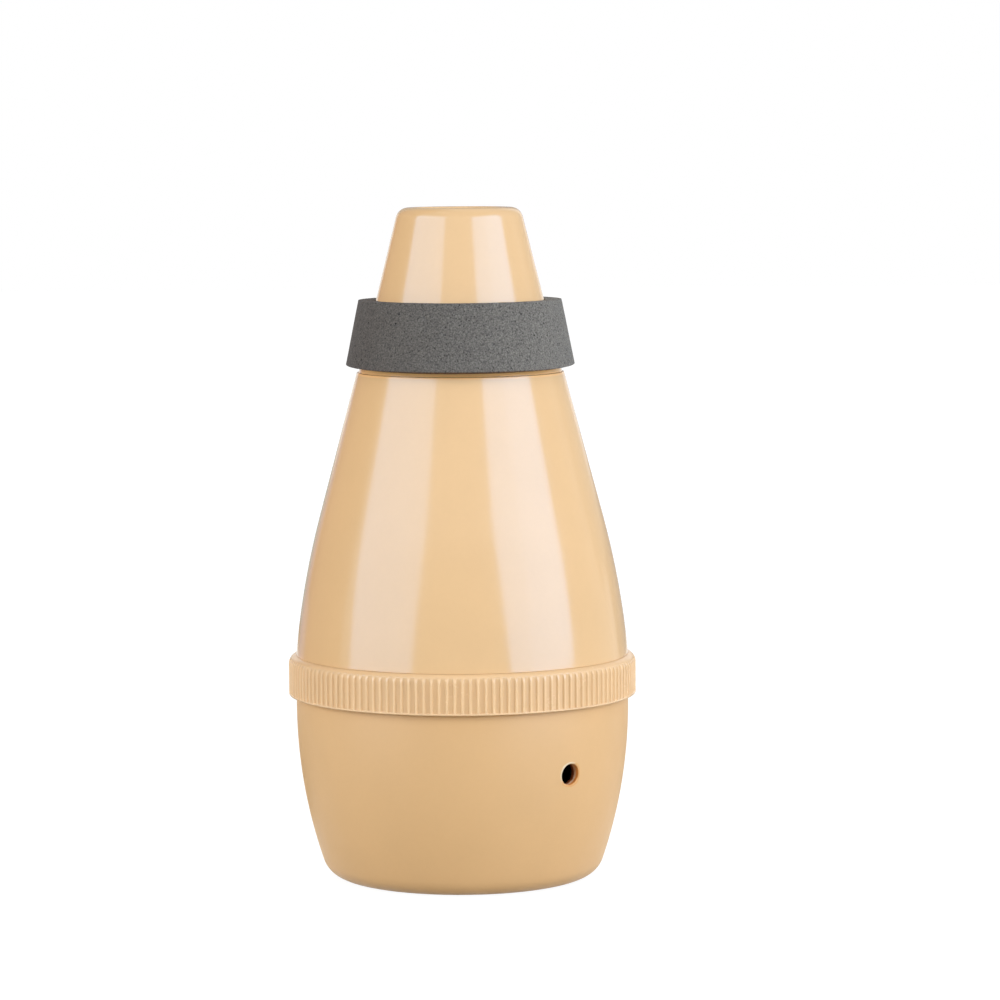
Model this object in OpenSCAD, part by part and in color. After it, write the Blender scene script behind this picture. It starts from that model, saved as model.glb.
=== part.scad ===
// Practice mute for a trumpet: a moulded cup and a tapering shell joined by a ribbed screw ring.
// The origin is the centre of the flat foot, +Z runs up to the nose, and the front faces -Y.

/* [Cup] */
// Height of the cup up to the shoulder under the ring
cup_h = 36.45; // [32:0.05:44]
// Straight band of the cup under the ring
cup_band_h = 2; // [1:0.1:4]
// Radius of the long curve down the cup's side
cup_side_r = 97; // [80:1:140]
// Radius of the cup's bottom corner
cup_corner_r = 4.9; // [3.5:0.1:7]
// Wall and floor thickness of the cup
cup_wall = 2; // [1.4:0.1:2.6]
// Diameter of the vent hole
vent_d = 4.2; // [2:0.1:6]
// How far the vent's centre lies below the cup's shoulder
vent_drop = 12.75; // [10:0.05:16]
// Angle of the vent from the front, towards the right
vent_turn = 40; // [-90:1:90]

/* [Screw neck of the cup] */
// Height of the neck above the cup's shoulder
neck_h = 4.55; // [4:0.05:7]
// Wall of the neck inside the thread
neck_wall = 1.6; // [1:0.1:2.2]
// Rise of the thread in one turn
thread_pitch = 2; // [1.6:0.1:2.4]
// Height of a thread ridge
thread_h = 0.7; // [0.4:0.05:0.9]
// Gap between the flanks of the two threads
thread_gap = 0.2; // [0.1:0.05:0.3]
// Extra width of a ridge at its root
thread_flank_w = 0.5; // [0.3:0.05:0.6]
// Plain height left below and above the thread
thread_margin = 0.9; // [0.7:0.05:1.2]
// Radial clearance between the two threads
thread_clear = 0.15; // [0.1:0.01:0.25]

/* [Ribbed ring] */
// Diameter over the ribs
ring_d = 69; // [64:0.5:74]
// How far the ring stands out from the cup and the shell
ring_proud = 1.5; // [0.9:0.1:2]
// Number of ribs
rib_count = 144; // [96:1:160]
// Width of a rib
rib_w = 0.42; // [0.3:0.01:0.6]
// How much wider a rib is at its foot, as a part of its width
rib_draft = 0.4; // [0.1:0.05:0.8]
// Depth of the grooves between the ribs
rib_depth = 0.4; // [0.2:0.05:0.6]
// Plain lip at the ring's lower edge
ring_lip_h = 0.35; // [0.2:0.05:0.8]
// Radius of the ring's rounded top edge
ring_round_r = 1.8; // [1:0.1:2.4]
// Wall between the grooves and the thread
ring_wall = 1.2; // [0.9:0.05:1.6]
// Thickness of the ring's inward flange
ring_flange_t = 1.35; // [1:0.05:2]
// How far the inward flange reaches over the collar
ring_flange_reach = 1.2; // [0.8:0.1:1.8]
// Running clearance of the ring on the collar
ring_run_clear = 0.08; // [0.05:0.01:0.1]
// Seam between the ring and the cup
ring_foot_gap = 0.15; // [0.1:0.05:0.3]
// Seam between the ring and the shell
ring_top_gap = 0.1; // [0.1:0.05:0.3]
// Axial play of the ring on the collar's flange
ring_play = 0.05; // [0.03:0.01:0.1]

/* [Collar and gasket] */
// Thickness of the collar's flange
collar_flange_t = 1.2; // [0.8:0.1:2]
// Clearance of the flange inside the ring's thread
collar_clear = 0.2; // [0.1:0.05:0.4]
// Wall of the collar's sleeve
collar_wall = 1.5; // [1.1:0.1:2]
// Thickness of the gasket
gasket_t = 0.8; // [0.5:0.1:1.5]
// How far the gasket lies inside the flange's edge
gasket_inset = 0.15; // [0.1:0.05:0.4]
// Depth of the shell's socket for the collar and the baffle
socket_depth = 6; // [5:0.1:9]
// Width of the ledge that stops the baffle
socket_ledge = 0.6; // [0.4:0.1:1]
// Glue film in every bonded joint
glue_gap = 0.05; // [0.03:0.01:0.1]

/* [Shell] */
// Height of the shell from its seam to the shoulder
shell_h = 55.95; // [50:0.05:66]
// Height of the curved lower part of the shell
shell_curve_h = 27.5; // [20:0.5:34]
// Lean of the wall at the shell's lower edge, in degrees
shell_foot_lean = 5.1; // [2:0.1:8]
// Diameter at the shoulder
shoulder_d = 41; // [38:0.05:44]
// Rounding of the shoulder's edge
shoulder_round_r = 0.5; // [0.3:0.1:1]
// Wall thickness of the shell, measured level
shell_wall = 2; // [1.5:0.1:2.6]

/* [Nose] */
// Height of the nose above the shoulder
nose_h = 32.4; // [28:0.1:38]
// Diameter at the nose's tip, before its edge is rounded
nose_tip_d = 24.1; // [22:0.1:26]
// Step in from the shoulder to the foot of the nose
nose_step = 0.35; // [0.1:0.05:0.8]
// Rounding of the tip's outer edge
nose_round_r = 2.5; // [1:0.1:3]
// Wall thickness of the nose, measured level
nose_wall = 2; // [1.5:0.1:2.4]
// Depth of the plug inside the shell
plug_depth = 6.5; // [4:0.1:9]
// Wall of the plug
plug_wall = 1.8; // [1.2:0.1:2.4]
// Wall of the shell around the plug, at the shoulder
plug_seat_wall = 2.3; // [1.8:0.1:3]
// Width of the rim between the tip's edge and the funnel's mouth
rim_w = 3.6; // [3.2:0.1:5]
// Rounding of the funnel's mouth
mouth_round_r = 1.2; // [0.6:0.1:1.6]
// Depth of the funnel
funnel_h = 18; // [14:0.5:22]
// Diameter of the throat bore
throat_d = 10; // [8:0.1:11]
// Wall of the funnel and its spigot
funnel_wall = 1.3; // [1:0.1:1.6]
// Length of the spigot below the funnel
spigot_h = 8; // [5:0.5:12]
// Thickness of the nose's rim from the tip to the hollow
rim_t = 4.5; // [4:0.1:6]

/* [Throat tube and baffle] */
// Wall of the throat tube
tube_wall = 1.2; // [0.8:0.1:1.8]
// Height of the tube's open lower end
tube_end_z = 26; // [22:0.5:32]
// Thickness of the baffle disc
baffle_t = 1.6; // [1.2:0.1:2.4]
// Number of holes in the baffle
baffle_holes = 8; // [4:1:10]
// Diameter of each hole in the baffle
baffle_hole_d = 7; // [4:0.5:9]
// Distance of the holes from the axis
baffle_hole_r = 20; // [18:0.5:22]
// Wall of the grommet between tube and baffle
grommet_wall = 1.5; // [1:0.1:2.5]
// Reach of the grommet's lips over the baffle
grommet_lip = 1.8; // [1:0.1:2.5]
// Thickness of each lip
grommet_lip_t = 1; // [0.6:0.1:1.6]

/* [Foam] */
// Height of the foam ring's lower face above the shoulder
foam_lift = 0.8; // [0.4:0.1:2]
// Height of the foam ring
foam_h = 13.45; // [10:0.05:18]
// Thickness of the foam ring at its lower edge
foam_low_t = 2.7; // [1.6:0.1:4]
// Thickness of the foam ring at its upper edge
foam_top_t = 3.5; // [2:0.1:5]
// Clearance between foam and what it lies against
foam_gap = 0.15; // [0.1:0.01:0.3]
// Thickness of the foam sleeve in the shell
cone_lining_t = 5; // [3:0.5:7]
// Plain height left above and below the foam sleeve
cone_lining_margin = 4; // [2:0.5:8]
// Thickness of the foam band in the cup
cup_lining_t = 4; // [2:0.5:5]
// Height of the foam band's lower edge
cup_lining_z = 9; // [8:0.5:12]
// Plain height left above the foam band, below the neck's step
cup_lining_top = 0.6; // [0.5:0.1:4]
// Diameter of the window in the foam band round the vent
vent_window_d = 12; // [9:0.5:15]
// Thickness of the foam disc on the floor
floor_pad_t = 4; // [2:0.5:5]
// Margin of the foam disc inside the floor's flat
floor_pad_margin = 1; // [0.5:0.1:3]

/* [Hidden] */
$fn = 96;

cream_gloss = [0.93, 0.79, 0.62];
cream_satin = [0.84, 0.70, 0.52];
cream_inner = [0.86, 0.76, 0.62];
foam_dark = [0.45, 0.43, 0.42];
foam_inner = [0.33, 0.33, 0.34];
rubber_black = [0.12, 0.12, 0.12];

// Steps along a round corner and along a long curved side in the turned outlines
arc_steps = 10;
side_steps = 16;
// Sections of a thread ridge in one turn
thread_sections = 72;
// How deep a ridge is rooted in its wall
thread_root = 0.2;
// Overlap that lets a cut pass right through a face
cut = 1;

// Heights from the foot upwards
neck_top_z = cup_h + neck_h;
flange_z = neck_top_z + gasket_t;
ring_seat_z = flange_z + collar_flange_t + ring_play;
ring_top_z = ring_seat_z + ring_flange_t;
ring_foot_z = cup_h + ring_foot_gap;
shell_z = ring_top_z + ring_top_gap;
shoulder_z = shell_z + shell_h;
nose_z = shoulder_z + glue_gap;
tip_z = nose_z + nose_h;
socket_z = shell_z + socket_depth;
baffle_z = socket_z - glue_gap - baffle_t;
funnel_z = tip_z - funnel_h;

// Radii at the ring, from the ribs inwards
ring_r = ring_d / 2;
body_r = ring_r - ring_proud;
groove_r = ring_r - rib_depth;
ring_bore_r = groove_r - ring_wall;
ring_crest_r = ring_bore_r - thread_h;
neck_r = ring_crest_r - thread_clear;
neck_in_r = neck_r - neck_wall;
thread_crest_w = thread_pitch / 2 - thread_gap - thread_flank_w / 2 * (1 - thread_clear / thread_h);
flange_r = ring_crest_r - collar_clear;
ring_hole_r = flange_r - ring_flange_reach;
sleeve_r = ring_hole_r - ring_run_clear;
sleeve_in_r = sleeve_r - collar_wall;
socket_r = sleeve_r + glue_gap;
baffle_r = socket_r - glue_gap;

// Outline of the cup: the side's arc touches the corner's arc
cup_crown_z = cup_h - cup_band_h;
cup_side_x = body_r - cup_side_r;
cup_corner_drop = cup_crown_z - cup_corner_r;
cup_corner_x = cup_side_x + sqrt(pow(cup_side_r - cup_corner_r, 2) - pow(cup_corner_drop, 2));
cup_side_angle = asin(cup_corner_drop / (cup_side_r - cup_corner_r));
cup_rim_in_z = cup_crown_z - cup_band_h / 2;
vent_z = cup_h - vent_drop;

// Outline of the shell: a curve that ends along the straight taper to the shoulder
shoulder_r = shoulder_d / 2;
shell_bend_r = body_r - tan(shell_foot_lean) * shell_curve_h / 2;
shell_taper = (shell_bend_r - shoulder_r) / (shell_h - shell_curve_h / 2);
shell_curve_r = shell_bend_r - shell_taper * shell_curve_h / 2;

// Outline of the nose
nose_foot_r = shoulder_r - nose_step;
nose_tip_r = nose_tip_d / 2;
nose_taper = (nose_foot_r - nose_tip_r) / nose_h;
plug_seat_r = shoulder_r - plug_seat_wall;
plug_r = plug_seat_r - glue_gap;
mouth_r = nose_tip_r - rim_w;
throat_r = throat_d / 2;
spigot_r = throat_r + funnel_wall;
tube_in_r = spigot_r + glue_gap;
tube_r = tube_in_r + tube_wall;
grommet_in_r = tube_r + glue_gap;
baffle_bore_r = grommet_in_r + grommet_wall + glue_gap;

// Angle on the cup's side at a height, for the arc that lies a depth in from the surface
function cup_angle(z, depth) = asin((z - cup_crown_z) / (cup_side_r - depth));
// Points of the cup's side between two angles, a depth in from the surface
function cup_side(a0, a1, depth) =
    [for (i = [0:side_steps])
        let (a = a0 + (a1 - a0) * i / side_steps)
        [cup_side_x + (cup_side_r - depth) * cos(a), cup_crown_z + (cup_side_r - depth) * sin(a)]];
// Points of a round corner of radius r about (x, z), from angle a0 to angle a1
function corner(x, z, r, a0, a1) =
    [for (i = [0:arc_steps]) let (a = a0 + (a1 - a0) * i / arc_steps) [x + r * cos(a), z + r * sin(a)]];
// Outside radius of the shell at height z
function shell_r(z) =
    let (t = (z - shell_z) / shell_curve_h)
    t < 1
        ? pow(1 - t, 2) * body_r + 2 * t * (1 - t) * shell_bend_r + t * t * shell_curve_r
        : shell_curve_r - shell_taper * (z - shell_z - shell_curve_h);
// Points of the shell's wall between two heights, less a depth in from the surface
function shell_line(z0, z1, depth) =
    [for (i = [0:side_steps]) let (z = z0 + (z1 - z0) * i / side_steps) [shell_r(z) - depth, z]];
// Outside radius of the nose at height z
function nose_r(z) = nose_foot_r - nose_taper * (z - nose_z);
// Inside radius of the funnel at height z
function funnel_r(z) = throat_r + (mouth_r - throat_r) * (z - funnel_z) / (funnel_h - mouth_round_r);

// Outline of the cup's bowl from its lower middle up to a height, a depth in from the surface
function bowl(top_z, depth) = concat(
    [[0, depth]],
    corner(cup_corner_x, cup_corner_r, cup_corner_r - depth, -90, -cup_side_angle),
    tail(cup_side(-cup_side_angle, cup_angle(top_z, depth), depth)));

// All the points but the first
function tail(points) = [for (i = [1:len(points) - 1]) points[i]];

// The points in the opposite order
function reversed(points) = [for (i = [len(points) - 1:-1:0]) points[i]];

// One thread ridge: a four-sided section swept along a helix. side is 1 for a ridge on a neck and
// -1 for a ridge inside a ring
module ridge(root_r, side, z0, turns, start) {
    sections = ceil(turns * thread_sections);
    root_half = thread_crest_w / 2 + thread_flank_w / 2 * (1 + thread_root / thread_h);
    points = [
        for (i = [0:sections])
            let (a = start + 360 * turns * i / sections)
            let (z = z0 + thread_pitch * turns * i / sections)
            let (base_r = root_r - side * thread_root)
            let (crest_r = root_r + side * thread_h)
            each [
                [base_r * cos(a), base_r * sin(a), z - root_half],
                [crest_r * cos(a), crest_r * sin(a), z - thread_crest_w / 2],
                [crest_r * cos(a), crest_r * sin(a), z + thread_crest_w / 2],
                [base_r * cos(a), base_r * sin(a), z + root_half]
            ]
    ];
    walls = [
        for (i = [0:sections - 1])
            for (k = [0:3])
                let (p = 4 * i + k)
                let (q = 4 * i + (k + 1) % 4)
                each [[p, q, q + 4], [p, q + 4, p + 4]]
    ];
    last = 4 * sections;
    ends = [[0, 3, 2], [0, 2, 1], [last, last + 1, last + 2], [last, last + 2, last + 3]];
    faces = concat(walls, ends);
    polyhedron(points, side > 0 ? faces : [for (f = faces) [f[0], f[2], f[1]]], convexity = 6);
}

// Outline of the ribs seen from above, with tips that reach past the ring's surface
function rib_outline() =
    let (reach_r = ring_r + rib_depth / 2)
    let (half = rib_w / 2 / ring_r * 180 / PI)
    let (foot_half = half * (1 + rib_draft))
    let (reach_half = half * (1 - rib_draft / 2))
    [for (i = [0:rib_count - 1])
        let (a = 360 * i / rib_count)
        each [
            [groove_r * cos(a - foot_half), groove_r * sin(a - foot_half)],
            [reach_r * cos(a - reach_half), reach_r * sin(a - reach_half)],
            [reach_r * cos(a + reach_half), reach_r * sin(a + reach_half)],
            [groove_r * cos(a + foot_half), groove_r * sin(a + foot_half)]
        ]];

// Places its children at the vent, with +X out through the wall
module at_vent() {
    rotate([0, 0, vent_turn - 90]) translate([0, 0, vent_z]) rotate([0, 90, 0]) children();
}

// Satin bowl with the flat foot, the vent and the male thread
module base_cup() {
    thread_z = cup_h + thread_margin;
    turns = (neck_h - 2 * thread_margin) / thread_pitch;
    color(cream_satin) difference() {
        union() {
            rotate_extrude() polygon(concat(
                bowl(cup_crown_z, 0),
                [[body_r, cup_h], [neck_r, cup_h], [neck_r, neck_top_z], [neck_in_r, neck_top_z],
                 [neck_in_r, cup_crown_z]],
                reversed(bowl(cup_rim_in_z, cup_wall))));
            ridge(neck_r, 1, thread_z, turns, 0);
        }
        at_vent() cylinder(h = ring_r + cut, d = vent_d);
    }
}

// Ribbed union ring with its inward flange and the female thread
module grip_ring() {
    ring_h = ring_top_z - ring_foot_z;
    bore_h = ring_seat_z - ring_foot_z;
    round_x = ring_r - ring_round_r;
    thread_z = ring_foot_z + thread_margin;
    turns = (bore_h - 3 * thread_margin) / thread_pitch;
    mesh_turn = 180 + 360 * (thread_z - cup_h - thread_margin) / thread_pitch;
    color(cream_gloss) union() {
        difference() {
            intersection() {
                translate([0, 0, ring_foot_z]) union() {
                    cylinder(h = ring_h - ring_round_r, r = ring_r);
                    cylinder(h = ring_h, r = round_x);
                    translate([0, 0, ring_h - ring_round_r])
                        rotate_extrude() translate([round_x, 0]) circle(ring_round_r);
                }
                translate([0, 0, ring_foot_z - cut]) union() {
                    cylinder(h = cut + ring_lip_h, r = ring_r + cut);
                    linear_extrude(ring_h + 2 * cut) polygon(rib_outline());
                }
            }
            translate([0, 0, ring_foot_z - cut]) cylinder(h = bore_h + cut, r = ring_bore_r);
            translate([0, 0, ring_foot_z]) cylinder(h = ring_h + cut, r = ring_hole_r);
        }
        ridge(ring_bore_r, -1, thread_z, turns, mesh_turn);
    }
}

// Flat rubber gasket on the neck's rim
module joint_gasket() {
    color(rubber_black) rotate_extrude() polygon([
        [neck_in_r, neck_top_z], [flange_r - gasket_inset, neck_top_z],
        [flange_r - gasket_inset, flange_z], [neck_in_r, flange_z]]);
}

// Flanged sleeve bonded into the shell, which keeps the ring captive
module flange_collar() {
    sleeve_top_z = baffle_z - glue_gap;
    color(cream_inner) rotate_extrude() polygon([
        [sleeve_in_r, flange_z], [flange_r, flange_z], [flange_r, flange_z + collar_flange_t],
        [sleeve_r, flange_z + collar_flange_t], [sleeve_r, sleeve_top_z], [sleeve_in_r, sleeve_top_z]]);
}

// Glossy tapering shell with a socket at each end
module cone_shell() {
    ledge_r = socket_r - socket_ledge;
    ledge_top_z = socket_z + socket_ledge;
    wall_z = ledge_top_z + shell_wall;
    seat_z = shoulder_z - plug_depth - glue_gap;
    flare_z = seat_z - (shell_r(seat_z) - shell_wall - plug_seat_r);
    lean = atan(shell_taper);
    round_z = shoulder_z - shoulder_round_r;
    round_x = shell_r(round_z) - shoulder_round_r / cos(lean);
    color(cream_gloss) rotate_extrude() polygon(concat(
        [[socket_r, shell_z]],
        shell_line(shell_z, round_z, 0),
        corner(round_x, round_z, shoulder_round_r, lean, 90),
        [[plug_seat_r, shoulder_z], [plug_seat_r, seat_z]],
        reversed(shell_line(wall_z, flare_z, shell_wall)),
        [[ledge_r, ledge_top_z], [ledge_r, socket_z], [socket_r, socket_z]]));
}

// Nose frustum with its plug, the funnel and the spigot for the tube
module nose_cone() {
    lean = atan(nose_taper);
    round_z = tip_z - nose_round_r;
    round_x = nose_r(round_z) - nose_round_r / cos(lean);
    hollow_z = tip_z - rim_t;
    hollow_foot_z = nose_z + plug_wall;
    color(cream_gloss) rotate_extrude() polygon(concat(
        [[plug_r - plug_wall, shoulder_z - plug_depth], [plug_r, shoulder_z - plug_depth], [plug_r, nose_z],
         [nose_foot_r, nose_z]],
        corner(round_x, round_z, nose_round_r, lean, 90),
        corner(mouth_r + mouth_round_r, tip_z - mouth_round_r, mouth_round_r, 90, 180),
        [[throat_r, funnel_z], [throat_r, funnel_z - spigot_h], [spigot_r, funnel_z - spigot_h],
         [spigot_r, funnel_z], [funnel_r(hollow_z) + funnel_wall, hollow_z],
         [nose_r(hollow_z) - nose_wall, hollow_z], [nose_r(hollow_foot_z) - nose_wall, hollow_foot_z],
         [plug_r - plug_wall, nose_z]]));
}

// Dark foam ring that seals in the instrument's bell
module foam_ring() {
    low_z = shoulder_z + foam_lift;
    top_z = low_z + foam_h;
    color(foam_dark) rotate_extrude() polygon([
        [nose_r(low_z) + foam_gap, low_z], [nose_r(low_z) + foam_low_t, low_z],
        [nose_r(top_z) + foam_top_t, top_z], [nose_r(top_z) + foam_gap, top_z]]);
}

// Inner tube on the nose's spigot, open at its lower end
module throat_tube() {
    top_z = funnel_z - glue_gap;
    color(cream_inner) difference() {
        translate([0, 0, tube_end_z]) cylinder(h = top_z - tube_end_z, r = tube_r);
        translate([0, 0, tube_end_z - cut]) cylinder(h = top_z - tube_end_z + 2 * cut, r = tube_in_r);
    }
}

// Perforated disc clamped between the collar and the shell's ledge
module baffle_disc() {
    color(cream_inner) translate([0, 0, baffle_z]) difference() {
        cylinder(h = baffle_t, r = baffle_r);
        translate([0, 0, -cut]) cylinder(h = baffle_t + 2 * cut, r = baffle_bore_r);
        for (i = [0:baffle_holes - 1])
            rotate([0, 0, 360 * i / baffle_holes])
                translate([baffle_hole_r, 0, -cut]) cylinder(h = baffle_t + 2 * cut, d = baffle_hole_d);
    }
}

// Rubber grommet between the tube and the baffle
module tube_grommet() {
    web_r = baffle_bore_r - glue_gap;
    lip_r = web_r + grommet_lip;
    low_z = baffle_z - glue_gap;
    top_z = baffle_z + baffle_t + glue_gap;
    color(rubber_black) rotate_extrude() polygon([
        [grommet_in_r, low_z - grommet_lip_t], [lip_r, low_z - grommet_lip_t], [lip_r, low_z],
        [web_r, low_z], [web_r, top_z], [lip_r, top_z], [lip_r, top_z + grommet_lip_t],
        [grommet_in_r, top_z + grommet_lip_t]]);
}

// Damping foam sleeve against the shell's wall
module cone_lining() {
    low_z = socket_z + cone_lining_margin;
    top_z = shoulder_z - plug_depth - cone_lining_margin;
    outer = shell_wall + foam_gap;
    color(foam_inner) rotate_extrude() polygon(concat(
        shell_line(low_z, top_z, outer),
        reversed(shell_line(low_z, top_z, outer + cone_lining_t))));
}

// Damping foam band against the cup's wall, cut open round the vent
module cup_lining() {
    low_z = cup_lining_z;
    top_z = cup_rim_in_z - cup_lining_top;
    outer = cup_wall + foam_gap;
    inner = outer + cup_lining_t;
    color(foam_inner) difference() {
        rotate_extrude() polygon(concat(
            cup_side(cup_angle(low_z, outer), cup_angle(top_z, outer), outer),
            cup_side(cup_angle(top_z, inner), cup_angle(low_z, inner), inner)));
        at_vent() cylinder(h = ring_r, d = vent_window_d);
    }
}

// Damping foam disc on the cup's floor
module floor_pad() {
    color(foam_inner) translate([0, 0, cup_wall + foam_gap])
        cylinder(h = floor_pad_t, r = cup_corner_x - floor_pad_margin);
}

base_cup();
grip_ring();
joint_gasket();
flange_collar();
cone_shell();
nose_cone();
foam_ring();
throat_tube();
baffle_disc();
tube_grommet();
cone_lining();
cup_lining();
floor_pad();
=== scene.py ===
"""Looks of a practice mute for a trumpet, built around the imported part.

A satin cup, a ribbed screw ring, a glossy shell and nose, and a dark foam ring, with the inner pieces
that the nose's mouth, the vent and the open joint let one see. Sizes are in millimetres until a mesh is
made; then everything is in metres, in the part's own frame.
"""

import math
import random

import bmesh
import bpy
from mathutils import Matrix, Vector, noise


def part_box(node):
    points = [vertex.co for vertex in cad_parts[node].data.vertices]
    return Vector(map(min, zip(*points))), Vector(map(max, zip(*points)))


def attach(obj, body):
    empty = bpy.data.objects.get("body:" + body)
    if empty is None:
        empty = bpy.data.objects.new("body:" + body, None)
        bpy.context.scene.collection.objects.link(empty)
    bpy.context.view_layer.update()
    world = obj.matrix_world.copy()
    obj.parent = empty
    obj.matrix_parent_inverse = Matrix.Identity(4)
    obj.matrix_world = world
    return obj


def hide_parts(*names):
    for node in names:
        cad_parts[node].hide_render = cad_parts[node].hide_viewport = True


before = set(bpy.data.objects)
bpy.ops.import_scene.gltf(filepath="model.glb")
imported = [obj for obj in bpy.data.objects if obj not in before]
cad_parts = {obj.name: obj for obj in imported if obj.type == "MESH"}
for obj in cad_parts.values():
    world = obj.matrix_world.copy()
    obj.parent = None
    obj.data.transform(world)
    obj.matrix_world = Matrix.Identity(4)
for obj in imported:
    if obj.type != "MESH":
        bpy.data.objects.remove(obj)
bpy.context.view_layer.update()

MM = 0.001
COLUMNS = 288


def extent(box):
    """Lowest and highest height and greatest reach along X of a box, in millimetres."""
    low, high = box
    return low.z / MM, high.z / MM, high.x / MM


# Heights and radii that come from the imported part
neck_top, body_r = extent(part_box("base_cup"))[1:]
ring_foot, ring_top, ring_r = extent(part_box("grip_ring"))
shell_low, shoulder = extent(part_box("cone_shell"))[:2]
plug_low, tip = extent(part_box("nose_cone"))[:2]
foam_low, foam_top = extent(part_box("foam_ring"))[:2]

# Cup
cup_h = 36.45
cup_crown = 34.45
cup_side_r = 97
cup_side_x = body_r - cup_side_r
cup_corner_r = 4.9
cup_wall = 2
cup_row_step = 0.9
gate_r = 1.7
gate_depth = 0.25
neck_r = 32.05
neck_in_r = 30.45
neck_edge = 0.4
cup_corner_drop = cup_crown - cup_corner_r
cup_corner_x = cup_side_x + math.sqrt((cup_side_r - cup_corner_r) ** 2 - cup_corner_drop ** 2)
cup_side_angle = math.asin(cup_corner_drop / (cup_side_r - cup_corner_r))
vent_r = 2.1
vent_z = 23.7
vent_angle = math.radians(-50)
vent_row_step = 0.7

# Screw thread
pitch = 2
thread_h = 0.7
thread_half_foot = 0.55
thread_flank = 0.25
thread_run_out = 0.03
thread_row_step = 0.07
cup_thread_z, cup_thread_turns, cup_thread_start = 37.35, 1.375, 0
ring_thread_z, ring_thread_turns, ring_thread_start = 37.5, 1.875, math.radians(207)

# Ring
groove_r = 34.1
ring_bore_r = 32.9
ring_hole_r = 30.8
ring_seat = ring_top - 1.35
ring_round = 1.8
seam_fill = 0.08
lip_h = 0.35
ribs = 144

# Shell
glue_gap = 0.05
shoulder_r = 20.5
shell_curve_h = 27.5
shell_low_lean = math.radians(5.1)
shell_bend_r = body_r - math.tan(shell_low_lean) * shell_curve_h / 2
shell_taper = (shell_bend_r - shoulder_r) / (shoulder - shell_low - shell_curve_h / 2)
shell_curve_r = shell_bend_r - shell_taper * shell_curve_h / 2
shell_wall = 2
turned_row_step = 1.3
socket_r = 30.77
socket_h = 6
socket_top = shell_low + socket_h
socket_ledge = 0.6

# Nose
nose_foot = shoulder + glue_gap
nose_step = 0.35
nose_foot_r = shoulder_r - nose_step
nose_tip_r = 12.05
nose_taper = (nose_foot_r - nose_tip_r) / (tip - nose_foot)
nose_round = 2.5
nose_wall = 2
plug_seat_r = shoulder_r - 2.3
plug_r = plug_seat_r - glue_gap
plug_wall = 1.8
mouth_r = nose_tip_r - 3.6
mouth_round = 1.2
throat_r = 5
spigot_r = 6.3
funnel_h = 18
funnel_low = tip - funnel_h
spigot_h = 8
rim_t = 4.5

# Foam
foam_gap = 0.15
foam_low_t = 2.7
foam_top_t = 3.5
foam_tilt = 1.7


def cup_side(z, depth=0):
    """Radius of the cup's side at a height, a depth in from the surface."""
    return cup_side_x + math.sqrt((cup_side_r - depth) ** 2 - (z - cup_crown) ** 2)


def shell_r(z):
    """Outside radius of the shell at a height."""
    t = (z - shell_low) / shell_curve_h
    if t < 1:
        return (1 - t) ** 2 * body_r + 2 * t * (1 - t) * shell_bend_r + t * t * shell_curve_r
    return shell_curve_r - shell_taper * (z - shell_low - shell_curve_h)


def nose_r(z):
    """Outside radius of the nose at a height."""
    return nose_foot_r - nose_taper * (z - nose_foot)


def spaced(low, high, step):
    """Evenly spaced values from low to high, at most a step apart."""
    count = max(1, math.ceil(abs(high - low) / step))
    return [low + (high - low) * i / count for i in range(count + 1)]


def arc(x, z, radius, degrees):
    """Points (r, z) of a circle round (x, z), at angles in degrees up from the outward direction."""
    turns = [math.radians(d) for d in degrees]
    return [(x + radius * math.cos(a), z + radius * math.sin(a)) for a in turns]


def rounded(corners, closed=True, steps=4, longest=2.5):
    """Outline of (r, z) points from corners (r, z, rounding), with support points beside each rounding where
    there is room for them."""
    room, support, most = 0.5, 0.12, 0.45
    made = []
    last = len(corners) - 1
    for i, (r, z, radius) in enumerate(corners):
        corner = Vector((r, z))
        if radius <= 0 or (not closed and i in (0, last)):
            made.append(corner)
            continue
        before = Vector(corners[i - 1][:2]) - corner
        after = Vector(corners[(i + 1) % len(corners)][:2]) - corner
        reach = min(radius / math.tan(before.angle(after) / 2), most * before.length, most * after.length)
        start = corner + before.normalized() * reach
        end = corner + after.normalized() * reach
        if before.length - reach > room:
            made.append(start + before.normalized() * support)
        for k in range(steps + 1):
            t = k / steps
            made.append(start.lerp(corner, t).lerp(corner.lerp(end, t), t))
        if after.length - reach > room:
            made.append(end + after.normalized() * support)
    dense = []
    for i, point in enumerate(made):
        dense.append(point)
        if closed or i < len(made) - 1:
            gap = made[(i + 1) % len(made)] - point
            parts = math.ceil(gap.length / longest)
            dense += [point + gap * k / parts for k in range(1, parts)]
    return [(p.x, p.y) for p in dense]


def polar(r, angle, z):
    """Place in metres of a point at a radius, an angle and a height in millimetres."""
    return Vector((r * math.cos(angle), r * math.sin(angle), z)) * MM


def join(work, first, second, slot=0, left_open=()):
    """Faces between two loops of vertices of the same length, in a material slot. left_open lists the cells
    that get none."""
    count = len(first)
    for k in range(count):
        if k in left_open:
            continue
        n = (k + 1) % count
        corners = []
        for v in (first[k], first[n], second[n], second[k]):
            if v not in corners:
                corners.append(v)
        if len(corners) > 2:
            work.faces.new(corners).material_index = slot


def placed(name, work):
    """The object of a finished bmesh, in the scene."""
    mesh = bpy.data.meshes.new(name)
    work.to_mesh(mesh)
    work.free()
    made = bpy.data.objects.new(name, mesh)
    bpy.context.scene.collection.objects.link(made)
    return made


def finished(name, work):
    """The object of a finished bmesh, smooth and facing outwards."""
    bmesh.ops.recalc_face_normals(work, faces=work.faces)
    made = placed(name, work)
    made.data.shade_smooth()
    return made


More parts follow.
